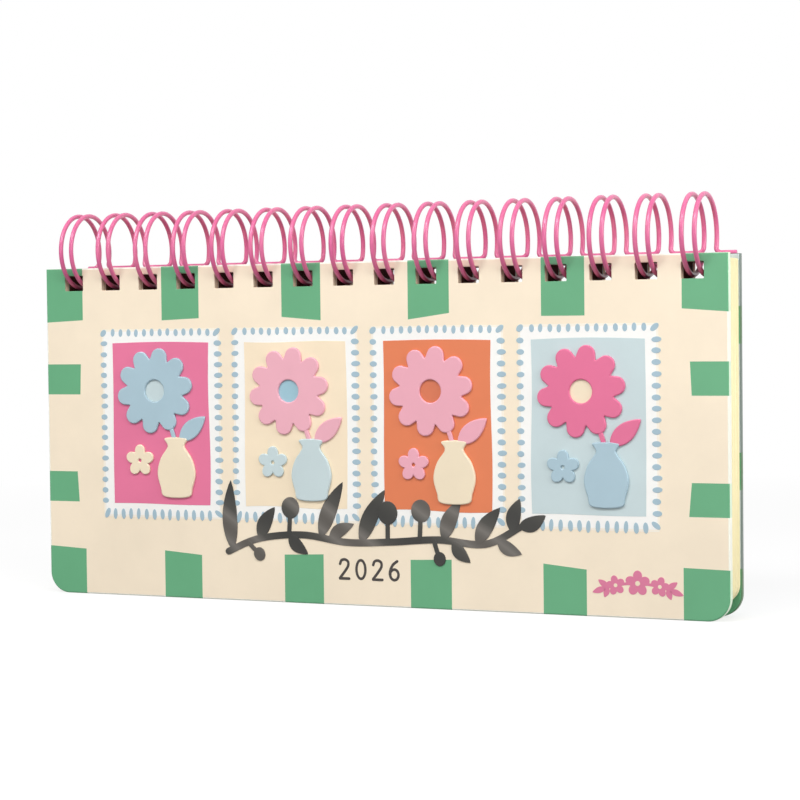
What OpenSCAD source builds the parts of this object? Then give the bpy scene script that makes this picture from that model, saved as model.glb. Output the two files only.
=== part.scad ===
// Flip desk calendar: two paper-covered board covers and thirteen stiff card leaves hung on a
// twin-loop wire binding along the top edge. Stored closed, standing on its lower edges.
// Frame: X is the width, -Y is the front face, +Z is up. The origin is at the middle of the
// base. The loops are centred on the line y = 0, z = ring_z, and everything turns about it.

/* [Covers] */
// width of a cover
body_w = 210; // [180:1:240]
// height of a cover
body_h = 97; // [80:1:120]
// thickness of a finished cover
cover_t = 2.5; // [1.5:0.1:3.5]
// radius of the two lower corners
corner_r = 6.3; // [2:0.1:8]
// thickness of the glued printed wrap
wrap_t = 0.2; // [0.1:0.05:0.4]
// width of the wrap's turn-in on the inside
turn_in = 12; // [9:1:20]
// margin left around the endpaper
paper_margin = 3; // [2:0.5:6]
// thickness of the endpaper
paper_t = 0.1; // [0.1:0.05:0.3]

/* [Leaves] */
// number of card leaves: a year leaf and twelve months
leaf_count = 13; // [13:1:13]
// thickness of one card leaf
leaf_t = 0.6; // [0.3:0.05:0.7]
// spacing of the leaves
leaf_step = 0.65; // [0.4:0.05:0.8]
// side margin between leaf and cover edge
leaf_side = 0.2; // [0.2:0.1:4]
// margin between leaf foot and the table
leaf_foot = 3.7; // [1:0.1:5]
// how far a leaf stops short of the top edge
leaf_top = 1.4; // [0.5:0.1:1.4]
// corner radius of a leaf
leaf_r = 5; // [2:0.1:8]

/* [Binding] */
// number of twin loops
teeth = 16; // [8:1:16]
// pitch of the loops, two to the inch
pitch = 12.7; // [12.7:0.1:12.7]
// radius of the wire
wire_r = 0.66; // [0.5:0.01:0.7]
// radius of a loop's centre line
ring_r = 10.7; // [10.5:0.1:11]
// height of the loop centre above the top edge
ring_up = 5.1; // [4.8:0.1:5.3]
// distance between the two legs of a twin loop
leg_gap = 3.5; // [3:0.1:4]
// bend radius where a leg turns into the spine
bend_r = 1.5; // [1:0.1:2]
// how far the two cut ends of the spine sit to the right
spine_shift = 1.2; // [0:0.1:1.5]
// angle where each leg leaves the spine, below the level of the loop centre
foot_a = -17.5; // [-20:0.5:-15]
// angle where the closed end of a loop stops
tip_a = 316.3; // [312:0.1:318]
// width of a punched hole
hole_w = 6.2; // [5.5:0.1:7]
// height of a punched hole
hole_h = 4.5; // [4.2:0.1:4.8]
// distance of a hole from the top edge
hole_down = 2.2; // [2:0.1:2.2]

/* [Hidden] */
$fn = 64;
ring_z = body_h + ring_up;
block_t = leaf_count * leaf_step + leaf_step - leaf_t;
stack_y = block_t / 2 + cover_t;
leaf_y0 = -block_t / 2 + leaf_step - leaf_t;
board_t = cover_t - 2 * wrap_t - paper_t;
tip_lap = 0.1;   // how far the closed end laps onto its legs
tip_fat = 0.02;  // and how much thicker it is there, so the two join cleanly

// outline standing in X and Z: square above, rounded at the two lower corners
module outline(w, z0, z1, r) {
  translate([-w / 2, z0 + r]) square([w, z1 - z0 - r]);
  translate([-w / 2 + r, z0]) square([w - 2 * r, 2 * r]);
  for (s = [-1, 1]) translate([s * (w / 2 - r), z0 + r]) circle(r);
}

// the row of rectangular holes
module holes() {
  for (i = [0 : teeth - 1])
    translate([(i - (teeth - 1) / 2) * pitch - hole_w / 2, body_h - hole_down - hole_h])
      square([hole_w, hole_h]);
}

// a flat outline in X and Z made into a plate from y0 to y0 + t
module plate(y0, t) {
  translate([0, y0 + t, 0]) rotate([90, 0, 0]) linear_extrude(t) children();
}

module punched(y0, t) {
  plate(y0, t) difference() { children(); holes(); }
}

// a cover is drawn as the front one, with its outside at y = -stack_y
module cover_wrap() {
  y0 = -stack_y;
  difference() {
    punched(y0, cover_t - paper_t) outline(body_w, 0, body_h, corner_r);
    plate(y0 + wrap_t, board_t)
      outline(body_w - 2 * wrap_t, wrap_t, body_h - wrap_t, corner_r - wrap_t);
    plate(y0 + wrap_t + board_t / 2, cover_t)
      translate([-body_w / 2 + turn_in, turn_in])
        square([body_w - 2 * turn_in, body_h - 2 * turn_in]);
  }
}

module cover_board() {
  punched(-stack_y + wrap_t, board_t)
    outline(body_w - 2 * wrap_t, wrap_t, body_h - wrap_t, corner_r - wrap_t);
}

module cover_endpaper() {
  punched(-stack_y + cover_t - paper_t, paper_t)
    outline(body_w - 2 * paper_margin, paper_margin, body_h - leaf_top, leaf_r);
  plate(-stack_y + wrap_t + board_t, wrap_t + paper_t / 2)
    translate([-body_w / 2 + turn_in, turn_in])
      square([body_w - 2 * turn_in, body_h - 2 * turn_in]);
}

// leaf number k from the front: 0 is the year leaf, 1 to 12 are the months
module leaf(k) {
  punched(leaf_y0 + k * leaf_step, leaf_t)
    outline(body_w - 2 * leaf_side, leaf_foot, body_h - leaf_top, leaf_r);
}

// one leg of a twin loop; s is -1 for the left leg and 1 for the right one
module leg(s) {
  translate([0, 0, s * leg_gap / 2]) rotate([0, 0, foot_a])
    rotate_extrude(angle = tip_a - foot_a) translate([ring_r, 0]) circle(wire_r);
  rotate([0, 0, foot_a]) translate([ring_r, 0, 0]) {
    translate([0, 0, s * (leg_gap / 2 + bend_r)]) rotate([0, 90, 0])
      rotate([0, 0, s < 0 ? 180 : 270])
        rotate_extrude(angle = 90) translate([bend_r, 0]) circle(wire_r);
    translate([0, -bend_r, s < 0 ? spine_shift - pitch / 2 : leg_gap / 2 + bend_r])
      cylinder(h = pitch / 2 - leg_gap / 2 - bend_r + s * spine_shift, r = wire_r);
  }
}

// one twin loop centred on x = 0, its halves of the spine included
module tooth() {
  translate([0, 0, ring_z]) rotate([90, 0, 90]) {
    leg(-1);
    leg(1);
    rotate([0, 0, tip_a]) translate([ring_r, -tip_lap, 0]) rotate([0, 90, 0])
      rotate_extrude(angle = 180) translate([leg_gap / 2, 0]) circle(wire_r + tip_fat);
  }
}

module wire_binding() color([0.88, 0.38, 0.60])
  for (i = [0 : teeth - 1]) translate([(i - (teeth - 1) / 2) * pitch, 0, 0]) tooth();
module front_cover_wrap() color([0.97, 0.91, 0.80]) cover_wrap();
module front_cover_board() color([0.62, 0.60, 0.56]) cover_board();
module front_cover_endpaper() color([0.80, 0.86, 0.87]) cover_endpaper();
module back_cover_wrap() color([0.97, 0.91, 0.80]) mirror([0, 1, 0]) cover_wrap();
module back_cover_board() color([0.62, 0.60, 0.56]) mirror([0, 1, 0]) cover_board();
module back_cover_endpaper() color([0.80, 0.86, 0.87]) mirror([0, 1, 0]) cover_endpaper();
module card(k) color([0.99, 0.94, 0.78]) leaf(k);

wire_binding();
front_cover_wrap();
front_cover_board();
front_cover_endpaper();
card(0);  // leaf_year
card(1);  // leaf_january
card(2);  // leaf_february
card(3);  // leaf_march
card(4);  // leaf_april
card(5);  // leaf_may
card(6);  // leaf_june
card(7);  // leaf_july
card(8);  // leaf_august
card(9);  // leaf_september
card(10);  // leaf_october
card(11);  // leaf_november
card(12);  // leaf_december
back_cover_endpaper();
back_cover_board();
back_cover_wrap();
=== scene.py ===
import bpy, bmesh, calendar, math, random
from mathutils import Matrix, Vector
from mathutils.geometry import tessellate_polygon

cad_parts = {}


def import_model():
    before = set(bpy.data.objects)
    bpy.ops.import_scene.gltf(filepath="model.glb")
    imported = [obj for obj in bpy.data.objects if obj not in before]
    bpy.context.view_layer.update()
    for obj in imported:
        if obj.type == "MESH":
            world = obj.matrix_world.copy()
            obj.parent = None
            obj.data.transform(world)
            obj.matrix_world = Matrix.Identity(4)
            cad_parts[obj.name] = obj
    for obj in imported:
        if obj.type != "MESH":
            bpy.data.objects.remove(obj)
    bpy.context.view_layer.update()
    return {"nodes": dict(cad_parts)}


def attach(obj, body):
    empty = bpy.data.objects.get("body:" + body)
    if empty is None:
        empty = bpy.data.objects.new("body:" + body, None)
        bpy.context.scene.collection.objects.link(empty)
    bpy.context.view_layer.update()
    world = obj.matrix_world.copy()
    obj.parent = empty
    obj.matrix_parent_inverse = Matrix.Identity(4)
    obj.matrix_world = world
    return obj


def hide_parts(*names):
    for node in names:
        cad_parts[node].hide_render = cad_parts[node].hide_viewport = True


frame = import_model()
random.seed(7)
MM = 0.001

# ---------------------------------------------------------------- sizes, in millimetres
BODY_W, BODY_H, COVER_T, CORNER = 210.0, 97.0, 2.5, 6.3
WRAP_T, TURN_IN, PAPER_T = 0.2, 12.0, 0.1
EDGE = 0.45                       # rounding of the wrapped cover edge
PITCH, TEETH, WIRE_R, RING_R, RING_UP = 12.7, 16, 0.66, 10.7, 5.1
LEG_GAP, BEND_R, FOOT_A, TIP_A, SPINE_SHIFT = 3.5, 1.5, -17.5, 316.3, 1.2
HOLE_W, HOLE_H, HOLE_DOWN = 6.2, 4.5, 2.2
LEAF_T, LEAF_STEP, LEAF_SIDE, LEAF_FOOT, LEAF_TOP, LEAF_R = 0.6, 0.65, 0.2, 3.7, 1.4, 5.0
STACK_Y = (13 * LEAF_STEP + LEAF_STEP - LEAF_T) / 2 + COVER_T
FACE_Y = -STACK_Y                 # the front cover's outside
MONTHS = ("january february march april may june july august september october november "
          "december").split()
YEAR = 2026


# ---------------------------------------------------------------- materials
def srgb(code):
    v = [int(code[i:i + 2], 16) / 255 for i in (0, 2, 4)]
    return [c / 12.92 if c <= 0.04045 else ((c + 0.055) / 1.055) ** 2.4 for c in v] + [1.0]


def shade(rgb, k):
    return [min(1.0, c * k) for c in rgb[:3]] + [1.0]


class Nodes:
    """A short way to write a material's nodes."""

    def __init__(self, name):
        self.mat = bpy.data.materials.new(name)
        self.mat.use_nodes = True
        self.t = self.mat.node_tree
        self.bsdf = self.t.nodes["Principled BSDF"]
        self.coord = self.new("ShaderNodeTexCoord").outputs["Object"]

    def new(self, kind, links=(), **values):
        n = self.t.nodes.new(kind)
        for k, v in values.items():
            setattr(n, k, v)
        for k, v in dict(links).items():
            self.t.links.new(v, n.inputs[k])
        return n

    def scaled(self, x, y, z):
        m = self.new("ShaderNodeMapping", {"Vector": self.coord})
        m.inputs["Scale"].default_value = (x, y, z)
        return m.outputs[0]

    def noise(self, scale, detail=3.0, rough=0.55, vector=None):
        n = self.new("ShaderNodeTexNoise", {"Vector": vector or self.coord})
        n.inputs["Scale"].default_value = scale
        n.inputs["Detail"].default_value = detail
        n.inputs["Roughness"].default_value = rough
        return n.outputs["Fac"]

    def ramp(self, fac, stops):
        n = self.new("ShaderNodeValToRGB", {"Fac": fac})
        r = n.color_ramp
        while len(r.elements) < len(stops):
            r.elements.new(0.5)
        for e, (pos, col) in zip(r.elements, stops):
            e.position, e.color = pos, col
        return n.outputs["Color"]

    def span(self, fac, lo, hi, a=0.0, b=1.0):
        n = self.new("ShaderNodeMapRange", {"Value": fac})
        for k, v in zip(("From Min", "From Max", "To Min", "To Max"), (lo, hi, a, b)):
            n.inputs[k].default_value = v
        return n.outputs[0]

    def math(self, op, a, b):
        n = self.new("ShaderNodeMath", operation=op)
        for i, v in enumerate((a, b)):
            if isinstance(v, (int, float)):
                n.inputs[i].default_value = v
            else:
                self.t.links.new(v, n.inputs[i])
        return n.outputs[0]

    def mix(self, fac, a, b):
        n = self.new("ShaderNodeMix", data_type="RGBA")
        self.t.links.new(fac, n.inputs["Factor"])
        for i, v in ((6, a), (7, b)):
            if isinstance(v, (list, tuple)):
                n.inputs[i].default_value = v
            else:
                self.t.links.new(v, n.inputs[i])
        return n.outputs[2]

    def bump(self, height, strength, distance):
        n = self.new("ShaderNodeBump", {"Height": height})
        n.inputs["Strength"].default_value = strength
        n.inputs["Distance"].default_value = distance
        self.t.links.new(n.outputs[0], self.bsdf.inputs["Normal"])

    def set(self, **values):
        for k, v in values.items():
            k = {"Color": "Base Color", "Coat": "Coat Weight", "CoatRough": "Coat Roughness",
                 "Spec": "Specular IOR Level"}.get(k, k)
            s = self.bsdf.inputs[k]
            if isinstance(v, bpy.types.NodeSocket):
                self.t.links.new(v, s)
            else:
                s.default_value = v
        return self.mat


def printed(name, code, rough=0.36, tooth=1.0):
    """Offset print on laminated paper: a slight mottle in the ink, a fine paper tooth."""
    m = Nodes(name)
    rgb = srgb(code)
    blotch = m.noise(55.0, 4.0, 0.6)
    grain = m.noise(2600.0, 2.0, 0.6)
    col = m.ramp(blotch, [(0.30, shade(rgb, 0.965)), (0.70, shade(rgb, 1.03))])
    m.bump(m.math("ADD", grain, m.math("MULTIPLY", m.noise(420.0), 0.6)), 0.22 * tooth, 0.00005)
    return m.set(Color=col, Roughness=m.span(m.noise(900.0, 2.0), 0.3, 0.7,
                                             rough - 0.05, rough + 0.06), Spec=0.45)


def card_stock(name, code, rough=0.78):
    m = Nodes(name)
    rgb = srgb(code)
    fibre = m.noise(900.0, 5.0, 0.65, m.scaled(0.35, 6.0, 1.0))
    col = m.ramp(fibre, [(0.25, shade(rgb, 0.94)), (0.75, shade(rgb, 1.03))])
    m.bump(fibre, 0.25, 0.00008)
    return m.set(Color=col, Roughness=m.span(fibre, 0.2, 0.8, rough - 0.06, rough + 0.06),
                 Spec=0.3)


def greyboard():
    m = Nodes("greyboard")
    fibre = m.noise(1400.0, 6.0, 0.7, m.scaled(0.5, 3.0, 1.0))
    fleck = m.noise(5200.0, 2.0, 0.5)
    col = m.ramp(fibre, [(0.3, srgb("B9AA92")), (0.55, srgb("D8CBB3")), (0.8, srgb("E8DDC8"))])
    dark = m.span(fleck, 0.66, 0.72)
    col = m.mix(m.math("MULTIPLY", dark, 0.35), col, srgb("7E7466"))
    m.bump(fibre, 0.5, 0.0002)
    return m.set(Color=col, Roughness=0.92, Spec=0.2)


def foil():
    """Dark hot-stamped foil, with lighter slanting bands painted into its colour as a painted
    reflection.
    """
    m = Nodes("foil")
    n = m.new("ShaderNodeTexWave", {"Vector": m.scaled(1.0, 0.0, 1.35)},
              wave_type="BANDS", bands_direction="DIAGONAL", wave_profile="SIN")
    n.inputs["Scale"].default_value = 16.0
    n.inputs["Distortion"].default_value = 2.2
    n.inputs["Detail"].default_value = 1.5
    n.inputs["Detail Scale"].default_value = 0.8
    # the lighter bands are a painted reflection slanting across the foil
    col = m.ramp(n.outputs["Fac"], [(0.0, srgb("444340")), (0.55, srgb("56544F")),
                                    (0.85, srgb("7E7973")), (1.0, srgb("67625C"))])
    m.bump(m.noise(1500.0, 3.0), 0.12, 0.00005)
    return m.set(Color=col, Metallic=0.25, Roughness=m.span(m.noise(300.0), 0.3, 0.7, 0.36, 0.5),
                 Coat=0.15, CoatRough=0.25)


def enamel():
    """Pink nylon-coated binding wire: satin, with small runs in the coating."""
    m = Nodes("pink_coated_wire")
    run = m.noise(380.0, 3.0, 0.5)
    col = m.ramp(m.noise(120.0, 2.0), [(0.3, srgb("DC6297")), (0.7, srgb("E6739F"))])
    m.bump(run, 0.12, 0.00005)
    return m.set(Color=col, Metallic=0.0, Roughness=m.span(run, 0.3, 0.7, 0.33, 0.42),
                 Coat=0.5, CoatRough=0.12, Spec=0.5)


CREAM, GREEN = "FBEBD2", "6AB083"
MAT = {
    "cream": printed("print_cream", CREAM), "green": printed("print_green", GREEN),
    # fold colours: in front paler than the print, a painted highlight along the rim; behind darker,
    # painted shade
    "cream_fold_painted_highlight": printed("fold_cream_painted_highlight", "FDFCEE"), "green_fold_painted_highlight": printed("fold_green_painted_highlight", "E4F8DC"),
    "mist": printed("print_mist", "C3D0D1"), "mist_fold_painted_shade": printed("fold_mist_painted_shade", "707F76"),
    "moss_fold_painted_shade": printed("fold_moss_painted_shade", "547A50"),
    "white": printed("print_white", "FDFBF7"), "dot": printed("print_dot_blue", "A8C2CF"),
    "halo": printed("print_off_white", "FCF3E4"),
    "pink": printed("print_pink", "E7739A"), "fuchsia": printed("print_fuchsia", "EB7BA0"),
    "rose": printed("print_rose", "F0B2C0"),
    "blue": printed("print_blue", "AEC8D4"), "sky": printed("print_sky", "A0C6D4"),
    "pale_blue": printed("print_pale_blue", "CBDBDD"),
    # a darker copy of the orange ground for the third panel's flower eye: painted shade in the eye's
    # recess
    "orange": printed("print_orange", "E88358"), "painted_eye_shade": printed("print_painted_eye_shade_orange", "DB7A57"),
    "butter": printed("print_butter", "FBE8CA"),
    "ivory": printed("print_ivory", "F5E5C8"), "lilac_rose": printed("print_lilac_rose", "F0AEBD"),
    "garland": printed("print_garland_pink", "E07FA0"),
    "ink": printed("print_ink", "4B4542", 0.5), "board": greyboard(), "foil": foil(),
    "wire": enamel(), "card": card_stock("leaf_card", "FFF1C1"),
    # dark card for the leaves' hole walls: painted shade inside the punched holes
    "punched": card_stock("punched_edge", "6A4236", 0.9),
    "endpaper": card_stock("endpaper_blue", "C3D3D4", 0.7),
    "grid_ink": printed("print_grid_ink", "8C857C", 0.6),
    "soft_green": printed("print_soft_green", "7FBF96", 0.55),
}


# ---------------------------------------------------------------- mesh tools, in millimetres
def inset_dirs(loop):
    """For each point of a closed loop, the mitred direction to its left."""
    out, n = [], len(loop)
    for i in range(n):
        (ax, az), (bx, bz), (cx, cz) = loop[i - 1], loop[i], loop[(i + 1) % n]
        u = Vector((bx - ax, bz - az))
        v = Vector((cx - bx, cz - bz))
        u = u.normalized() if u.length > 1e-9 else v.normalized()
        v = v.normalized() if v.length > 1e-9 else u
        p, q = Vector((-u.y, u.x)), Vector((-v.y, v.x))
        m = p + q
        m = m.normalized() if m.length > 1e-6 else p
        out.append(m / max(0.45, m.dot(p)))
    return out


def area(loop):
    return sum(loop[i - 1][0] * p[1] - p[0] * loop[i - 1][1] for i, p in enumerate(loop)) / 2


class Shape:
    """Collects closed solids into one mesh. x and z are on the sheet, y is its thickness."""

    def __init__(self, name, mats):
        self.name, self.bm = name, bmesh.new()
        self.slots = list(mats)

    def ring(self, loop, y):
        return [self.bm.verts.new((x * MM, y * MM, z * MM)) for x, z in loop]

    def wall(self, a, b, mat=0, smooth=True):
        n = len(a)
        for i in range(n):
            f = self.bm.faces.new((a[i], a[(i + 1) % n], b[(i + 1) % n], b[i]))
            f.material_index, f.smooth = mat, smooth

    def cap(self, rings, mat=0):
        verts = [v for r in rings for v in r]
        for tri in tessellate_polygon([[Vector((v.co.x, v.co.z, 0)) for v in r] for r in rings]):
            if len(set(tri)) == 3:
                try:
                    f = self.bm.faces.new([verts[i] for i in tri])
                except ValueError:
                    continue
                f.material_index, f.smooth = mat, False

    def slab(self, loops, y_out, y_in, r=0.1, steps=3, mat=0, back_r=None, inner=None):
        """A plate between y_out, its shown face, and y_in, with its edges rounded by r.
        The first loop is its outline, the others are holes, whose walls may be inner."""
        back_r = r if back_r is None else back_r
        sgn = 1 if y_in > y_out else -1
        prof = [(r * (1 - math.sin(t)), y_out + sgn * r * (1 - math.cos(t)))
                for t in (math.pi / 2 * k / steps for k in range(steps + 1))] if r else [(0, y_out)]
        if back_r:
            prof += [(back_r * (1 - math.cos(t)), y_in - sgn * back_r * (1 - math.sin(t)))
                     for t in (math.pi / 2 * k / 2 for k in range(3))]
        else:
            prof += [(0, y_in)]
        first, last = [], []
        for k, loop in enumerate(loops):
            if (area(loop) < 0) != (k > 0):
                loop = loop[::-1]
            dirs = inset_dirs(loop)
            rings = [self.ring([(x + d * v.x, z + d * v.y) for (x, z), v in zip(loop, dirs)], y)
                     for d, y in prof]
            for a, b in zip(rings, rings[1:]):
                self.wall(a, b, inner if k and inner is not None else mat)
            first.append(rings[0])
            last.append(rings[-1])
        self.cap(first, mat)
        self.cap(last, mat)

    def ribbon(self, pts, width, y_out, y_in, mat=0, closed=False):
        """A flat stroke of even width along points."""
        n, left, right = len(pts), [], []
        for i in range(n):
            a = pts[i - 1] if i or closed else pts[i]
            c = pts[(i + 1) % n] if i < n - 1 or closed else pts[i]
            u = Vector((pts[i][0] - a[0], pts[i][1] - a[1]))
            v = Vector((c[0] - pts[i][0], c[1] - pts[i][1]))
            u = u.normalized() if u.length else v.normalized()
            v = v.normalized() if v.length else u
            m = Vector((-(u + v).y, (u + v).x))
            m = m.normalized() if m.length > 1e-6 else Vector((-u.y, u.x))
            m *= width / 2 / max(0.5, m.dot(Vector((-u.y, u.x))))
            left.append((pts[i][0] + m.x, pts[i][1] + m.y))
            right.append((pts[i][0] - m.x, pts[i][1] - m.y))
        rows = [[self.bm.verts.new((x * MM, y * MM, z * MM)) for x, z in s]
                for s, y in ((left, y_out), (right, y_out), (right, y_in), (left, y_in))]
        for i in range(n if closed else n - 1):
            j = (i + 1) % n
            for k in range(4):
                a, b = rows[k], rows[(k + 1) % 4]
                self.bm.faces.new((a[i], b[i], b[j], a[j])).material_index = mat
        if not closed:
            for i in (0, n - 1):
                self.bm.faces.new([r[i] for r in rows]).material_index = mat

    def paint(self, quad, pairs):
        """Cuts faces along a convex outline's sides. Inside it, materials change by pairs."""
        xs, zs = [p[0] * MM for p in quad], [p[1] * MM for p in quad]
        if area(quad) < 0:
            quad = quad[::-1]
        def near(f):
            x = [v.co.x for v in f.verts]
            z = [v.co.z for v in f.verts]
            return (min(x) < max(xs) and max(x) > min(xs) and min(z) < max(zs)
                    and max(z) > min(zs))
        for i, (x, z) in enumerate(quad):
            px, pz = quad[i - 1]
            fs = [f for f in self.bm.faces if near(f)]
            geom = (fs + list({e for f in fs for e in f.edges})
                    + list({v for f in fs for v in f.verts}))
            bmesh.ops.bisect_plane(self.bm, geom=geom, dist=1e-8,
                                   plane_co=(x * MM, 0, z * MM), plane_no=(z - pz, 0, px - x))
        for f in self.bm.faces:
            c = f.calc_center_median()
            cx, cz = c.x / MM, c.z / MM
            if all((q[0] - p[0]) * (cz - p[1]) - (q[1] - p[1]) * (cx - p[0]) > -1e-6
                   for p, q in zip([quad[-1]] + quad[:-1], quad)):
                f.material_index = pairs.get(f.material_index, f.material_index)

    def done(self, body, slot, replaces=()):
        bmesh.ops.recalc_face_normals(self.bm, faces=self.bm.faces)
        me = bpy.data.meshes.new(self.name)
        self.bm.to_mesh(me)
        self.bm.free()
        for m in self.slots:
            me.materials.append(MAT[m])
        o = bpy.data.objects.new(self.name, me)
        bpy.context.scene.collection.objects.link(o)
        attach(o, body)
        if replaces:
            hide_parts(*replaces)
        return o


# ---------------------------------------------------------------- outlines
def arc(cx, cz, r, a0, a1, n):
    return [(cx + r * math.cos(math.radians(a0 + (a1 - a0) * i / n)),
             cz + r * math.sin(math.radians(a0 + (a1 - a0) * i / n))) for i in range(n + 1)]


def sheet_outline(w, z0, z1, r, n=14):
    """Square at the top, rounded at the two lower corners."""
    return (arc(-w / 2 + r, z0 + r, r, 180, 270, n) + arc(w / 2 - r, z0 + r, r, 270, 360, n)
            + [(w / 2, z1), (-w / 2, z1)])


def rect(x0, z0, x1, z1):
    return [(x0, z0), (x1, z0), (x1, z1), (x0, z1)]


def ellipse(cx, cz, a, b, tilt=0.0, n=28):
    out, t = [], math.radians(tilt)
    for i in range(n):
        u = 2 * math.pi * i / n
        x, z = a * math.cos(u), b * math.sin(u)
        out.append((cx + x * math.cos(t) - z * math.sin(t), cz + x * math.sin(t) + z * math.cos(t)))
    return out


def flower(cx, cz, ovals, n=300):
    """The outline of overlapping ovals, seen from a point inside the first of them.
    Each is the middle's place, the half length and width, and the tilt."""
    out, (ox, oz) = [], ovals[0][:2]
    for i in range(n):
        t, best = 2 * math.pi * i / n, 0.0
        for x, z, a, b, tilt in ovals:
            u = math.radians(tilt)
            dx, dz = math.cos(t - u) / a, math.sin(t - u) / b
            px = ((ox - x) * math.cos(u) + (oz - z) * math.sin(u)) / a
            pz = ((oz - z) * math.cos(u) - (ox - x) * math.sin(u)) / b
            A, B, C = dx * dx + dz * dz, dx * px + dz * pz, px * px + pz * pz - 1
            if B * B > A * C:
                best = max(best, (math.sqrt(B * B - A * C) - B) / A)
        out.append((cx + ox + best * math.cos(t), cz + oz + best * math.sin(t)))
    return out


def leaf_shape(x0, z0, x1, z1, width, bend=0.0, n=16, plump=0.85, full=0.8):
    """A pointed leaf from base to tip. bend bows it sideways."""
    out, length = [], math.hypot(x1 - x0, z1 - z0)
    ux, uz = (x1 - x0) / length, (z1 - z0) / length
    for side in (1, -1):
        for i in range(n):
            t = i / n if side == 1 else 1 - i / n
            half = width / 2 * math.sin(math.pi * t ** plump) ** full
            w = side * half + bend * math.sin(math.pi * t)
            out.append((x0 + ux * length * t - uz * w, z0 + uz * length * t + ux * w))
    return out


def even(loop, step=0.3):
    """The same closed outline with its points about one step apart."""
    out, carry = [], 0.0
    for (ax, az), (bx, bz) in zip(loop, loop[1:] + loop[:1]):
        length, t = math.hypot(bx - ax, bz - az), step - carry
        while t < length:
            out.append((ax + (bx - ax) * t / length, az + (bz - az) * t / length))
            t += step
        carry = length - (t - step)
    return out


def holes(grow=0.0):
    out = []
    for i in range(TEETH):
        x, z = (i - (TEETH - 1) / 2) * PITCH, BODY_H - HOLE_DOWN - HOLE_H / 2
        a, b, r = HOLE_W / 2 + grow, HOLE_H / 2 + grow, 0.25 + grow
        loop = []
        for sx, sz, a0 in ((1, 1, 0), (-1, 1, 90), (-1, -1, 180), (1, -1, 270)):
            loop += arc(x + sx * (a - r), z + sz * (b - r), r, a0, a0 + 90, 3)
        out.append(loop)
    return out


# ---------------------------------------------------------------- covers
CHECK_STEP = 39.4                 # spacing of the checks along the head and the foot
CHECK_W = 12.4                    # width of a check there
HEAD_DEEP = 15.5                  # how far a check comes down from the head
FOOT_DEEP = 13.5                  # how far a check comes up from the foot
CHECK_COUNT = 6                   # number of checks along the head and the foot
SIDE_DEEP = 11.0                  # how far a check comes in from a side
CHECK_SLACK = 1.0                 # how unevenly the inner ends are cut
BLEED = 1.0                       # how far the checks run past the edges


def border_checks(seed, step, high, head):
    """Checks all round a cover, their inner ends a little uneven. step is their spacing up the
    sides, high is their height there, and head picks the ones along the head. Each is given as
    its upper left, lower left, lower right and upper right corner."""
    cut = random.Random(seed)
    def off():
        return cut.uniform(-CHECK_SLACK, CHECK_SLACK)
    side = BODY_W / 2 + BLEED
    out = []
    for row, places in (("head", head), ("foot", range(CHECK_COUNT))):
        for k in places:
            mid = (k - (CHECK_COUNT - 1) / 2) * CHECK_STEP
            x0 = -side if k == 0 else mid - CHECK_W / 2
            x1 = side if k == CHECK_COUNT - 1 else mid + CHECK_W / 2
            if row == "head":
                z, top = BODY_H - HEAD_DEEP, BODY_H + BLEED
                out.append([(x0, top), (x0, z + off()), (x1, z + off()), (x1, top)])
            else:
                z = FOOT_DEEP
                out.append([(x0, z + off()), (x0, -BLEED), (x1, -BLEED), (x1, z + off())])
    inner = BODY_W / 2 - SIDE_DEEP
    for k in (1, 2):
        z0, z1 = k * step - high / 2, k * step + high / 2
        out.append([(-side, z1), (-side, z0), (-inner + off(), z0), (-inner + off(), z1)])
        out.append([(inner + off(), z1), (inner + off(), z0), (side, z0), (side, z1)])
    return out


CHECKS = border_checks(3, 32.0, 9.0, range(CHECK_COUNT))
BACK_CHECKS = border_checks(4, 39.0, 10.0, range(1, CHECK_COUNT - 1))


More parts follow.
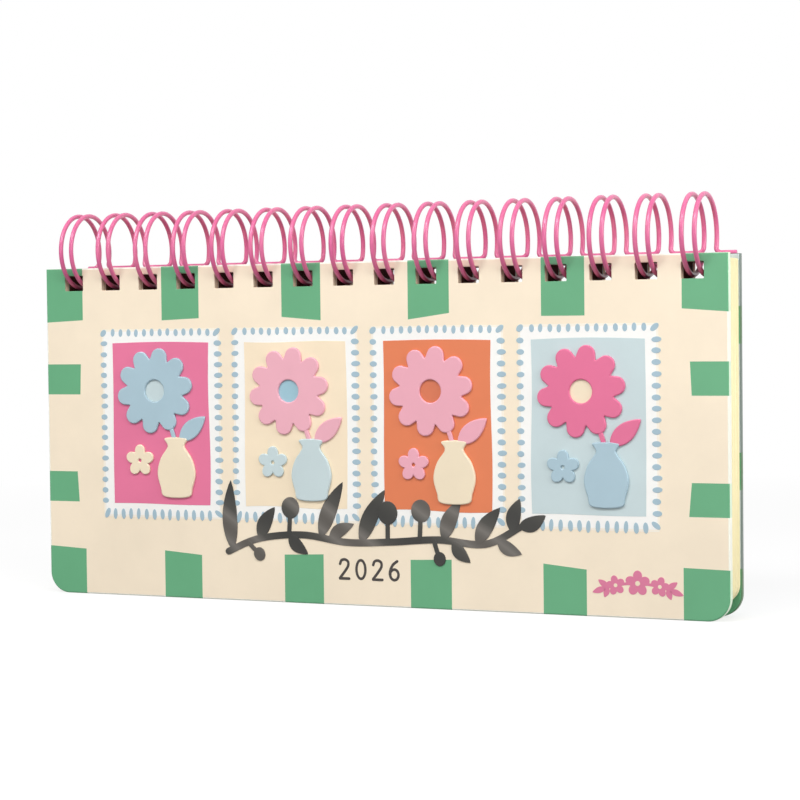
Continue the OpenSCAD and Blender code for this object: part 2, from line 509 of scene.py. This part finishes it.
def cover_wrap(name, body, node, s, mats, checks):
    """The printed sheet: outside face, rounded edges and turn-in. s is -1 in front, 1 behind.
    mats are the ground, the checks, the same two where the sheet folds over the edge, and the colour
    where the fold begins, which is the plain ground behind and the pale fold colour in front. The fold
    colours are painted light: paler than the print in front, a painted highlight along the rim, and
    darker than the print behind, painted shade."""
    w = Shape(name, mats)
    # slots 2 and 4 carry the fold colours: in front both are painted highlight; behind, slot 2 is
    # painted shade and slot 4 the plain ground
    ground, edge, start = 0, 2, 4
    def y(depth):
        return s * (STACK_Y - depth)
    outer = sheet_outline(BODY_W, 0, BODY_H, CORNER)
    dirs = inset_dirs(outer)
    def outline(d, depth):
        return w.ring([(x + d * v.x, z + d * v.y) for (x, z), v in zip(outer, dirs)], y(depth))
    back = COVER_T - PAPER_T
    prof = [(EDGE * (1 - math.sin(t)), EDGE * (1 - math.cos(t)))
            for t in (math.pi / 2 * k / 5 for k in range(6))]
    rings = [outline(d, h) for d, h in prof] + [outline(d, back - h) for d, h in reversed(prof)]
    for k, (a, b) in enumerate(zip(rings, rings[1:])):
        w.wall(a, b, edge if 2 < k < len(rings) - 3 else start if k < 3 else ground)
    lip = rect(-BODY_W / 2 + TURN_IN, TURN_IN, BODY_W / 2 - TURN_IN, BODY_H - TURN_IN)
    lip_out, lip_in = w.ring(lip, y(back)), w.ring(lip, y(back - WRAP_T))
    pocket_in, pocket_out = outline(WRAP_T, back - WRAP_T), outline(WRAP_T, WRAP_T)
    w.wall(lip_out, lip_in, smooth=False)
    w.wall(pocket_in, pocket_out, smooth=False)
    cuts = {}
    for key, depth, grow in (("face", 0.0, 0.12), ("lip1", 0.1, 0.0), ("skin", WRAP_T, 0.0),
                             ("in", back - WRAP_T, 0.0), ("out", back, 0.0)):
        cuts[key] = [w.ring(h, y(depth)) for h in holes(grow)]
    for a, b in (("face", "lip1"), ("lip1", "skin"), ("in", "out")):
        for p, q in zip(cuts[a], cuts[b]):
            w.wall(p, q)
    w.cap([rings[0]] + cuts["face"])
    w.cap([rings[-1], lip_out] + cuts["out"])
    w.cap([pocket_in, lip_in] + cuts["in"])
    w.cap([pocket_out] + cuts["skin"])
    for quad in checks:
        w.paint(quad, {0: 1, 2: 3, 4: 1})
    return w.done(body, "wrap", [node])


# in front the fold colours are paler than the print: a painted highlight along the rim
cover_wrap("front_wrap_sheet", "front_cover", "front_cover_wrap", -1,
           ["cream", "green", "cream_fold_painted_highlight", "green_fold_painted_highlight", "cream_fold_painted_highlight"], CHECKS)
# behind, the fold colours are darker than the print: painted shade along the rim
cover_wrap("back_wrap_sheet", "back_cover", "back_cover_wrap", 1,
           ["mist", "green", "mist_fold_painted_shade", "moss_fold_painted_shade", "mist"], BACK_CHECKS)


# ---------------------------------------------------------------- raised and printed work
def stroke(pts, width, n=8):
    """The outline of a round-ended pen stroke."""
    left, right = [], []
    for i, p in enumerate(pts):
        a, c = pts[max(0, i - 1)], pts[min(len(pts) - 1, i + 1)]
        d = Vector((c[0] - a[0], c[1] - a[1])).normalized() * width / 2
        left.append((p[0] - d.y, p[1] + d.x))
        right.append((p[0] + d.y, p[1] - d.x))
    def cap(p, q):
        c = ((p[0] + q[0]) / 2, (p[1] + q[1]) / 2)
        a0 = math.degrees(math.atan2(p[1] - c[1], p[0] - c[0]))
        return arc(c[0], c[1], width / 2, a0, a0 - 180, n)[1:-1]
    return left + cap(left[-1], right[-1]) + right[::-1] + cap(right[0], left[0])


def smooth(pts, n=8, closed=False):
    """Catmull-Rom through the points."""
    out, m = [], len(pts)
    for i in range(m if closed else m - 1):
        if closed:
            p = [Vector(pts[(i + k) % m]) for k in (-1, 0, 1, 2)]
        else:
            p = [Vector(pts[min(m - 1, max(0, i + k))]) for k in (-1, 0, 1, 2)]
        for j in range(n):
            t = j / n
            out.append(tuple(0.5 * (2 * p[1] + (p[2] - p[0]) * t
                                    + (2 * p[0] - 5 * p[1] + 4 * p[2] - p[3]) * t * t
                                    + (3 * p[1] - p[0] - 3 * p[2] + p[3]) * t ** 3)))
    return out if closed else out + [tuple(pts[-1])]


# plain numerals in a box one high, as open strokes and closed loops
DIGITS = {
    "0": [("o", (0.30, 0.5, 0.27, 0.5))],
    "1": [("s", [(0.16, 0.80), (0.36, 1.0), (0.36, 0.0)])],
    "2": [("c", [(0.05, 0.76), (0.14, 0.95), (0.33, 1.0), (0.51, 0.90), (0.52, 0.68), (0.36, 0.42),
                 (0.04, 0.02)]), ("s", [(0.04, 0.0), (0.57, 0.0)])],
    "3": [("c", [(0.06, 0.88), (0.26, 1.0), (0.48, 0.90), (0.48, 0.64), (0.24, 0.54)]),
          ("c", [(0.24, 0.54), (0.50, 0.44), (0.54, 0.18), (0.30, 0.0), (0.04, 0.12)])],
    "4": [("s", [(0.42, 0.0), (0.42, 1.0), (0.03, 0.30), (0.58, 0.30)])],
    "5": [("s", [(0.52, 1.0), (0.13, 1.0), (0.09, 0.56)]),
          ("c", [(0.09, 0.56), (0.32, 0.64), (0.54, 0.48), (0.53, 0.18), (0.30, 0.0),
                 (0.04, 0.10)])],
    "6": [("o", (0.30, 0.29, 0.25, 0.29)),
          ("c", [(0.47, 1.0), (0.22, 0.80), (0.07, 0.50), (0.05, 0.29)])],
    "7": [("s", [(0.04, 1.0), (0.56, 1.0), (0.20, 0.0)])],
    "8": [("o", (0.30, 0.76, 0.21, 0.24)), ("o", (0.30, 0.26, 0.26, 0.26))],
    "9": [("o", (0.30, 0.71, 0.25, 0.29)),
          ("c", [(0.55, 0.71), (0.53, 0.45), (0.38, 0.15), (0.14, 0.0)])],
}


def number(shape, text, x, z, high, width, y_out, y_in, mat=0, fine=2, gap=0.8):
    """Draws a plain number with its lower left corner at x, z."""
    for ch in text:
        for kind, d in DIGITS[ch]:
            if kind == "o":
                pts = ellipse(x + d[0] * high, z + d[1] * high, d[2] * high, d[3] * high, n=8 * fine)
                shape.ribbon(pts, width, y_out, y_in, mat, closed=True)
            else:
                pts = [(x + a * high, z + b * high) for a, b in d]
                pts = smooth(pts, fine) if kind == "c" else pts
                shape.ribbon(pts, width, y_out, y_in, mat)
        x += gap * high


FRONT = "front_cover"
H_FRAME, H_PANEL, H_RELIEF = 0.05, 0.10, 0.75
PANEL_STEP = 44.0                 # spacing of the panels
PANEL_Z = 51.0                    # height of their middles
PANELS = [  # ground, flower and leaf, eye, vase and blossom, blossom's dot
    ("fuchsia", "blue", "pale_blue", "ivory", "pink", "ivory"),
    ("butter", "rose", "sky", "pale_blue", "ivory", "pale_blue"),
    # this panel's eye takes the darker orange, painted shade in the recess
    ("orange", "lilac_rose", "painted_eye_shade", "ivory", "orange", "lilac_rose"),
    ("pale_blue", "pink", "ivory", "blue", "pale_blue", "blue"),
]
PANEL_X, PANEL_H = 16.15, 23.65    # half the size of a panel
DOT_X, DOT_Z = 19.2, 26.7         # how far out the dots run
WHITE_X, WHITE_Z = 19.2, 27.1     # half the size of the white paper round a panel
BEVEL = 0.38                      # rounding of the raised shapes
# the motif in every panel, a plain one; places are from the panel's middle
FLOWER = {"heart": 5.8, "far": 7.9, "long": 4.7, "wide": 2.9, "count": 10, "turn": 9}
FLOWER_AT = (-1.8, 9.6)
EYE = 3.2                         # radius of the flower's eye
STEM, STEM_W = [(2.4, 1.8), (3.5, -1.2), (4.9, -5.2)], 1.3
LEAF_FROM, LEAF_TO, LEAF_W = (6.4, -4.8), (14.9, 2.2), 5.2
BLOSSOM = {"heart": 2.1, "far": 2.7, "long": 2.0, "wide": 1.7, "count": 5, "turn": 90}
BLOSSOM_AT = (-7.1, -10.9)
BLOSSOM_EYE = 0.5
TIP = 0.88                        # how round a petal's end is, as a part of its width
VASE_X = 5.2                      # how far right of the panel's middle the vase stands
VASE = [(3.9, -21.4), (5.3, -18.6), (6.3, -14.4),   # half width and height, from the foot up
        (5.2, -10.2), (2.8, -6.6), (3.6, -4.2)]


def round_flower(cx, cz, heart, far, long, wide, count, turn):
    """A plain flower: equal round-ended petals set evenly round a disc."""
    ovals = [(0, 0, heart, heart, 0)]
    for k in range(count):
        a = turn + 360 * k / count
        ux, uz = math.cos(math.radians(a)), math.sin(math.radians(a))
        tip = far + long - TIP * wide
        ovals.append((far * ux, far * uz, long, wide, a))
        ovals.append((tip * ux, tip * uz, TIP * wide, TIP * wide, 0))
    return flower(cx, cz, ovals)


def vase(cx, cz):
    """A plain round-bellied vase."""
    right = [(cx + VASE_X + w, cz + z) for w, z in VASE]
    left = [(cx + VASE_X - w, cz + z) for w, z in reversed(VASE)]
    return even(smooth(right + left, 12, closed=True))


def bowed(cx, cz, a, b, amount, n=10):
    """A rectangle whose sides bow in and out a little, as cut by hand."""
    out = []
    corners = [(-a, -b), (a, -b), (a, b), (-a, b)]
    for i in range(4):
        (x0, z0), (x1, z1) = corners[i], corners[(i + 1) % 4]
        k, ph = random.uniform(0.3, 1.0) * amount, random.choice((0.0, 1.0))
        for j in range(n):
            t = j / n
            w = k * (math.sin(math.pi * t) if ph else math.sin(2 * math.pi * t) * 0.6)
            out.append((cx + x0 + (x1 - x0) * t + (w if i % 2 else 0),
                        cz + z0 + (z1 - z0) * t + (0 if i % 2 else w)))
    return out


def stamp(i, cx, cz, ground, petal, eye, pot, dot, small):
    """One panel: its paper, the dots round it and the raised motif on it."""
    face = FACE_Y
    s = Shape(f"stamp_{i}_frame", ["white", ground, "halo"])
    for k, grow in enumerate((0.6, 0.0)):
        s.slab([bowed(cx, cz, WHITE_X + grow, WHITE_Z + grow, 0.15)],
               face - H_FRAME + 0.02 * (1 - k), face + 0.04 - 0.01 * k, 0.02, 2, 0 if k else 2)
    s.slab([bowed(cx, cz, PANEL_X, PANEL_H, 0.45)], face - H_PANEL, face - 0.01, 0.05, 2, 1)
    s.done(FRONT, "wrap")

    d = Shape(f"stamp_{i}_dots", ["dot"])
    def oval(x, z, a, b, tilt=0.0):
        j = random.uniform(-1, 1)
        d.slab([ellipse(cx + x + 0.12 * j, cz + z + 0.12 * random.uniform(-1, 1), a * (1 + 0.08 * j),
                        b * (1 - 0.06 * j), tilt + 4 * j, 18)],
               face - 0.11, face + 0.03, 0.08, 2)
    for k in range(13):
        x = -15.9 + 31.8 * k / 12
        oval(x, DOT_Z, 0.70, 1.10)
        oval(x, -DOT_Z, 0.68, 1.60)
    for k in range(16):
        z = 23.5 - 46.3 * k / 15
        oval(-DOT_X, z, 1.10, 0.78)
        oval(DOT_X, z, 1.30, 0.80)
    oval(-DOT_X, DOT_Z, 1.25, 0.8, 50)
    oval(DOT_X - 0.3, DOT_Z, 1.5, 0.75, 45)
    oval(-DOT_X + 0.7, -DOT_Z, 1.7, 0.75, 68)
    oval(DOT_X - 0.4, -DOT_Z + 0.6, 1.4, 0.75, -40)
    d.done(FRONT, "wrap")

    top, low = face - H_RELIEF, face - H_PANEL + 0.03
    fx, fz = cx + FLOWER_AT[0], cz + FLOWER_AT[1]
    f = Shape(f"stamp_{i}_daisy", [petal])
    f.slab([round_flower(fx, fz, **FLOWER), ellipse(fx, fz, EYE, EYE, 0, 40)],
           top, low, BEVEL, 6, back_r=0)
    f.slab([stroke([(cx + x, cz + z) for x, z in STEM], STEM_W)], top + 0.1, low, 0.24, 4, back_r=0)
    f.done(FRONT, "wrap")
    e = Shape(f"stamp_{i}_eye", [eye])
    e.slab([ellipse(fx, fz, EYE + 0.3, EYE + 0.3, 0, 40)],
           face - H_PANEL - 0.08, low, 0.04, 2, back_r=0)
    e.done(FRONT, "wrap")
    g = Shape(f"stamp_{i}_leaf", [petal])
    g.slab([leaf_shape(cx + LEAF_FROM[0], cz + LEAF_FROM[1], cx + LEAF_TO[0], cz + LEAF_TO[1], LEAF_W)],
           top + 0.04, low, BEVEL, 6, back_r=0)
    g.done(FRONT, "wrap")
    v = Shape(f"stamp_{i}_vase", [pot])
    v.slab([vase(cx, cz)], top - 0.05, low, BEVEL, 6, back_r=0)
    v.done(FRONT, "wrap")
    b = Shape(f"stamp_{i}_blossom", [small, dot])
    bx, bz = cx + BLOSSOM_AT[0], cz + BLOSSOM_AT[1]
    b.slab([round_flower(bx, bz, **BLOSSOM), ellipse(bx, bz, BLOSSOM_EYE, BLOSSOM_EYE, n=16)],
           top + 0.08, low, 0.3, 5, back_r=0)
    b.slab([ellipse(bx, bz, BLOSSOM_EYE + 0.12, BLOSSOM_EYE + 0.12, n=16)],
           face - H_PANEL - 0.1, low, 0.03, 1, 1, back_r=0)
    b.done(FRONT, "wrap")


for i, row in enumerate(PANELS, 1):
    stamp(i, (i - (len(PANELS) + 1) / 2) * PANEL_STEP, PANEL_Z, *row)


def sprig():
    """A foil sprig of leaves and berries across the foot of the cover."""
    s = Shape("foil_sprig", ["foil"])
    y0, y1 = FACE_Y - H_PANEL - 0.12, FACE_Y + 0.02
    def put(loop, level):
        s.slab([loop], y0 - 0.02 * level, y1, 0.09, 3, back_r=0)
    stem = smooth([(-44, 14.2), (-34, 18.2), (-20, 19.6), (-6, 17.9), (8, 18.4), (22, 19.4),
                   (36, 18.6), (46, 23.4)], 10)
    put(stroke(stem, 2.0, 10), 0)
    def at(x):
        i = min(range(1, len(stem)), key=lambda k: abs(stem[k][0] - x))
        (ax, az), (bx, bz) = stem[i - 1], stem[i]
        return stem[i], math.degrees(math.atan2(bz - az, bx - ax))
    # leaves: place along the stem, turn from it, length and width
    for x, turn, long, wide in (
            (-43, 66, 20.0, 4.8), (-34, 46, 10.5, 4.4), (-25, -46, 8.0, 3.8), (-15, 74, 17.5, 4.8),
            (-11, 40, 9.0, 3.8), (-2, 62, 17.0, 4.8), (24, 66, 12.5, 4.6), (27, -42, 7.8, 3.8),
            (34, 58, 12.5, 4.6), (40, -50, 8.0, 3.8), (44, 44, 9.5, 4.2),
            (48.4, -4, 8.5, 4.2)):
        (px, pz), a = at(x)
        t = math.radians(a + turn)
        bend = math.copysign(0.6, turn)
        tip = (px + long * math.cos(t), pz + long * math.sin(t))
        put(leaf_shape(px, pz, *tip, wide, bend, plump=0.8), 1)
    # berries: place along the stem, turn from it, distance and radius
    for x, turn, far, rad in ((-38, -64, 5.0, 1.8), (-25, 82, 7.8, 2.8), (7, 86, 8.2, 3.0),
                              (16, 82, 8.2, 2.9), (20, -74, 5.6, 1.8)):
        (px, pz), a = at(x)
        t = math.radians(a + turn)
        ex, ez = px + far * math.cos(t), pz + far * math.sin(t)
        put(stroke([(px, pz), (px + 0.48 * (ex - px), pz + 0.52 * (ez - pz)), (ex, ez)], 1.3), 2)
        put(ellipse(ex, ez, rad, rad * 1.1, a, 30), 3)
    s.done(FRONT, "wrap")


def year_number():
    """The year under the sprig, in plain numerals."""
    s = Shape("year_number", ["ink"])
    y0, y1 = FACE_Y - 0.05, FACE_Y + 0.02
    x, z, high, width = -8.6, 7.6, 5.4, 0.78
    for ch in str(YEAR):
        for k, (kind, d) in enumerate(DIGITS[ch]):
            top = y0 - 0.01 * k
            if kind == "o":
                c = (x + d[0] * high, z + d[1] * high)
                a, b = d[2] * high, d[3] * high
                s.slab([ellipse(*c, a + 0.4 * width, b + 0.4 * width, n=40),
                        ellipse(*c, a - 0.6 * width, b - 0.6 * width, n=40)],
                       top, y1, 0.03, 2, back_r=0)
            else:
                pts = [(x + a * high, z + b * high) for a, b in d]
                pts = smooth(pts, 6) if kind == "c" else smooth(pts, 1)
                s.slab([stroke(pts, width)], top, y1, 0.03, 2, back_r=0)
        x += 0.955 * high
    s.done(FRONT, "wrap")


def garland():
    """A small pink garland in the lower right."""
    s = Shape("pink_garland", ["garland", "ivory"])
    y0, y1 = FACE_Y - 0.05, FACE_Y + 0.02
    cx, cz, r = 79.6, -18.0, 27.4
    def on(a):
        return cx + r * math.sin(math.radians(a)), cz + r * math.cos(math.radians(a))
    s.slab([stroke([on(-19 + 38 * k / 24) for k in range(25)], 0.8)], y0, y1, 0.03, 2, back_r=0)
    for a, big in ((-13, 0.85), (0, 1.1), (13, 0.85)):
        x, z = on(a)
        ovals = [(0, 0, 1.5 * big, 1.5 * big, 0)]
        for turn in range(0, 360, 72):
            t = math.radians(90 - a + turn)
            ovals.append((1.8 * big * math.cos(t), 1.8 * big * math.sin(t), 1.35 * big, 1.15 * big,
                          90 - a + turn))
        s.slab([flower(x, z, ovals, 120)], y0 - 0.02, y1, 0.03, 2, back_r=0)
        s.slab([ellipse(x, z, 0.62 * big, 0.62 * big, n=16)], y0 - 0.05, y1, 0.02, 1, 1, back_r=0)
    for a, turn, long in ((-19, 180, 4.0), (19, 0, 4.0), (-17.5, 128, 3.4), (17.5, 52, 3.4),
                          (-17.5, -128, 3.0), (17.5, -52, 3.0)):
        x, z = on(a)
        t = math.radians(turn - a)
        s.slab([leaf_shape(x, z, x + long * math.cos(t), z + long * math.sin(t), 1.7)],
               y0 - 0.01, y1, 0.03, 2, back_r=0)
    s.done(FRONT, "wrap")


sprig()
year_number()
garland()


# ---------------------------------------------------------------- leaves
ACCENTS = ("pink", "blue", "orange", "soft_green")
INK, ACCENT, DARK = 0, 1, 2       # slots of a leaf's print
GRID_X0, GRID_X1, GRID_Z0, GRID_Z1 = -56.0, 99.0, 8.0, 80.0
GRID_LINE, NOTE_LINE = 0.3, 0.22  # widths of the printed lines


def day_slot(place):
    """Working days are dark, and Saturday and Sunday have the leaf's accent colour."""
    return DARK if place % 7 < 5 else ACCENT


def year_print(p, f, g):
    """The year number over twelve small months."""
    number(p, str(YEAR), -97, 72, 9.0, 1.0, f, g, ACCENT, 4)
    for m in range(12):
        bx, bz = -97 + (m % 6) * 33.0, 62 - (m // 6) * 28.0
        number(p, str(m + 1), bx, bz, 3.2, 0.4, f, g, ACCENT)
        first, days = calendar.monthrange(YEAR, m + 1)
        for d in range(days):
            c = d + first
            x, z = bx + 0.6 + (c % 7) * 3.9, bz - 3.4 - (c // 7) * 3.3
            number(p, str(d + 1), x, z, 1.7, 0.2, f, g, day_slot(c), 1)


def month_print(p, month, f, g):
    """The month's number, its grid of days and seven lines for notes."""
    first, days = calendar.monthrange(YEAR, month)
    number(p, str(month), -96, 62, 20.0, 2.4, f, g, ACCENT, 5)
    number(p, str(YEAR), -96, 52, 5.0, 0.55, f, g, INK, 3)
    cw, ch = (GRID_X1 - GRID_X0) / 7, (GRID_Z1 - GRID_Z0) / 6
    for c in range(8):
        p.ribbon([(GRID_X0 + c * cw, GRID_Z0), (GRID_X0 + c * cw, GRID_Z1)], GRID_LINE, f, g)
    for r in range(7):
        p.ribbon([(GRID_X0, GRID_Z0 + r * ch), (GRID_X1, GRID_Z0 + r * ch)], GRID_LINE, f, g)
    for c in range(7):
        p.slab([ellipse(GRID_X0 + (c + 0.5) * cw, GRID_Z1 + 3.6, 5.2, 1.5, n=20)],
               f, g, 0, 1, ACCENT)
    for d in range(days):
        c = d + first
        x, z = GRID_X0 + (c % 7) * cw + 1.6, GRID_Z1 - (c // 7) * ch - 4.9
        number(p, str(d + 1), x, z, 3.4, 0.38, f, g, day_slot(c))
    for r in range(7):
        p.ribbon([(-98, 44 - 6 * r), (-62, 44 - 6 * r)], NOTE_LINE, f, g)


def leaf(k, name):
    """Leaf number k from the front: the card, its print, and ruled lines on its back."""
    y0 = -STACK_Y + COVER_T + LEAF_STEP - LEAF_T + k * LEAF_STEP
    trim = random.uniform(0.02, 0.16)
    # the hole walls take the dark card colour, painted shade inside the punched holes
    sheet = Shape(f"{name}_sheet", ["card", "punched"])
    sheet.slab([sheet_outline(BODY_W - 2 * LEAF_SIDE - 2 * trim, LEAF_FOOT + trim,
                              BODY_H - LEAF_TOP - trim / 2, LEAF_R, 8)] + holes(0.0),
               y0 + 0.02, y0 + LEAF_T - 0.02, 0.07, 2, inner=1)
    sheet.done(name, "card", [name])
    p = Shape(f"{name}_print", ["grid_ink", ACCENTS[k % 4], "ink"])
    f, g = y0 + 0.005, y0 + 0.03
    if k == 0:
        year_print(p, f, g)
    else:
        month_print(p, k, f, g)
    b0, b1 = y0 + LEAF_T - 0.03, y0 + LEAF_T - 0.005
    for r in range(12):
        p.ribbon([(-98, 80 - 6.2 * r), (98, 80 - 6.2 * r)], NOTE_LINE, b1, b0)
    p.done(name, "card")


leaf(0, "leaf_year")
for k, m in enumerate(MONTHS, 1):
    leaf(k, f"leaf_{m}")


# ---------------------------------------------------------------- wire
def wire_path():
    """The whole binding as one run of points: spine, then each twin loop in turn."""
    zc, pts = BODY_H + RING_UP, []
    def ring_point(x, a, along=0.0):
        a = math.radians(a)
        return Vector((x, RING_R * math.cos(a) - along * math.sin(a),
                       zc + RING_R * math.sin(a) + along * math.cos(a)))
    half, n_arc = LEG_GAP / 2, 80
    bend = [math.radians(90 * k / 7) for k in range(8)]
    for i in range(TEETH):
        x = (i - (TEETH - 1) / 2) * PITCH
        if i == 0:
            pts.append(ring_point(x - PITCH / 2 + SPINE_SHIFT, FOOT_A, -BEND_R))
        pts += [ring_point(x - half - BEND_R + BEND_R * math.sin(t), FOOT_A, -BEND_R * math.cos(t))
                for t in bend]
        arc_a = [FOOT_A + (TIP_A - FOOT_A) * k / n_arc for k in range(1, n_arc)]
        pts += [ring_point(x - half, a) for a in arc_a]
        pts += [ring_point(x - half * math.cos(u), TIP_A, half * math.sin(u))
                for u in (math.pi * k / 12 for k in range(13))]
        pts += [ring_point(x + half, a) for a in reversed(arc_a)]
        pts += [ring_point(x + half + BEND_R - BEND_R * math.sin(t), FOOT_A, -BEND_R * math.cos(t))
                for t in reversed(bend)]
        if i == TEETH - 1:
            pts.append(ring_point(x + PITCH / 2 + SPINE_SHIFT, FOOT_A, -BEND_R))
    return pts


WIRE_SIDES = 14
CUT_BACK, CUT_R = 0.14, 0.72      # depth of the rounding of a cut end, and the radius left there


def wire():
    """The binding wire, swept along its path, with its two cut ends slightly rounded."""
    pts = wire_path()
    first = (pts[1] - pts[0]).normalized()
    last = (pts[-1] - pts[-2]).normalized()
    stations = [(p, pts[max(0, i - 1)], pts[min(len(pts) - 1, i + 1)], 1.0)
                for i, p in enumerate(pts)]
    stations[0] = (pts[0] + first * CUT_BACK, pts[0], pts[1], 1.0)
    stations[-1] = (pts[-1] - last * CUT_BACK, pts[-2], pts[-1], 1.0)
    stations = ([(pts[0], pts[0] - first, pts[1], CUT_R)] + stations
                + [(pts[-1], pts[-2], pts[-1] + last, CUT_R)])
    s, rows, normal = Shape("twin_loop_wire", ["wire"]), [], Vector((0, 0, 1))
    for p, before, after, k in stations:
        t = (after - before).normalized()
        normal = (normal - t * normal.dot(t)).normalized()
        side = t.cross(normal)
        row = []
        for j in range(WIRE_SIDES):
            u = 2 * math.pi * j / WIRE_SIDES
            out = (normal * math.cos(u) + side * math.sin(u)) * WIRE_R * k
            row.append(s.bm.verts.new((p + out) * MM))
        rows.append(row)
    for a, b in zip(rows, rows[1:]):
        s.wall(a, b)
    s.bm.faces.new(rows[0])
    s.bm.faces.new(rows[-1])
    s.done("back_cover", "wire", ["wire_binding"])


wire()


# ---------------------------------------------------------------- boards and endpapers stay as CAD
for node, mat in (("front_cover_board", "board"), ("back_cover_board", "board"),
                  ("front_cover_endpaper", "endpaper"), ("back_cover_endpaper", "endpaper")):
    for s in frame["nodes"][node].material_slots:
        s.material = MAT[mat]


# ---------------------------------------------------------------- floor, light, camera
AMBIENT = 0.27, 0.44              # the light from straight below and from straight above
REAR = 0.6                        # the light added from straight behind


def stage():
    """A pale floor: matt near the part, so that it takes a soft shadow, and even white beyond."""
    bm = bmesh.new()
    bmesh.ops.create_circle(bm, cap_ends=True, segments=64, radius=40.0)
    me = bpy.data.meshes.new("floor")
    bm.to_mesh(me)
    bm.free()
    m = Nodes("pale_floor")
    far = m.new("ShaderNodeVectorMath", {"Vector": m.coord}, operation="LENGTH").outputs["Value"]
    matt = m.span(far, 0.12, 0.55, 0.30, 0.0)
    col = m.mix(matt, [0.0, 0.0, 0.0, 1.0], [1.0, 1.0, 1.0, 1.0])
    glow = m.math("SUBTRACT", 1.0, m.math("MULTIPLY", matt, 0.98))
    me.materials.append(m.set(**{"Color": col, "Roughness": 1.0, "Spec": 0.0,
                                 "Emission Color": (1, 1, 1, 1), "Emission Strength": glow}))
    o = bpy.data.objects.new("floor", me)
    o.visible_diffuse = o.visible_glossy = o.visible_shadow = False
    bpy.context.scene.collection.objects.link(o)


def lamp(name, where, target, size, watts, colour=(1, 1, 1), tall=None):
    d = bpy.data.lights.new(name, "AREA")
    d.shape, d.size, d.energy, d.color = "DISK", size, watts, colour
    if tall:
        d.shape, d.size_y = "RECTANGLE", tall
    o = bpy.data.objects.new(name, d)
    o.location = where
    o.rotation_euler = (Vector(target) - Vector(where)).to_track_quat("-Z", "Y").to_euler()
    bpy.context.scene.collection.objects.link(o)


def world():
    """White behind the part, and a studio light that is stronger from above and from the back."""
    w = bpy.data.worlds.new("studio")
    bpy.context.scene.world = w
    w.use_nodes = True
    t = w.node_tree
    def new(kind, **inputs):
        n = t.nodes.new(kind)
        for k, v in inputs.items():
            socket = n.inputs[k.replace("_", " ")]
            if isinstance(v, bpy.types.NodeSocket):
                t.links.new(v, socket)
            else:
                socket.default_value = v
        return n
    sky = new("ShaderNodeTexCoord").outputs["Generated"]
    way = new("ShaderNodeSeparateXYZ", Vector=sky).outputs
    soft = new("ShaderNodeMapRange", Value=way["Z"], From_Min=-1.0,
               To_Min=AMBIENT[0], To_Max=AMBIENT[1])
    rear = new("ShaderNodeMapRange", Value=way["Y"], From_Min=0.0, To_Min=0.0, To_Max=REAR)
    both = t.nodes.new("ShaderNodeMath")
    t.links.new(soft.outputs[0], both.inputs[0])
    t.links.new(rear.outputs[0], both.inputs[1])
    path = new("ShaderNodeLightPath").outputs["Is Camera Ray"]
    seen = new("ShaderNodeMapRange", Value=path, To_Min=both.outputs[0], To_Max=1.0)
    t.links.new(seen.outputs[0], t.nodes["Background"].inputs["Strength"])
    t.nodes["Background"].inputs["Color"].default_value = (1, 1, 1, 1)


stage()
world()
lamp("key", (-0.50, -0.75, 0.62), (0, 0, 0.05), 0.24, 2.0)
lamp("front", (-0.08, -0.85, 0.10), (0, 0, 0.05), 0.34, 0.55)
lamp("strip", (0.02, -0.36, 0.48), (0, 0, 0.05), 0.75, 2.1, tall=0.12)
lamp("side", (0.55, -0.13, 0.24), (0, 0, 0.05), 0.3, 1.4)

# the camera's place, direction and lens come from a fit to the photograph
cam = bpy.data.objects.new("camera", bpy.data.cameras.new("camera"))
bpy.context.scene.collection.objects.link(cam)
cam.data.sensor_width = 36.0
cam.data.lens = 97.92
cam.data.clip_start, cam.data.clip_end = 0.01, 100.0
cam.location = (0.2584, -0.5600, 0.0778)
cam.rotation_euler = [math.radians(a) for a in (88.142, 0.652, 24.087)]
bpy.context.scene.camera = cam
bpy.context.scene.view_settings.view_transform = "Standard"
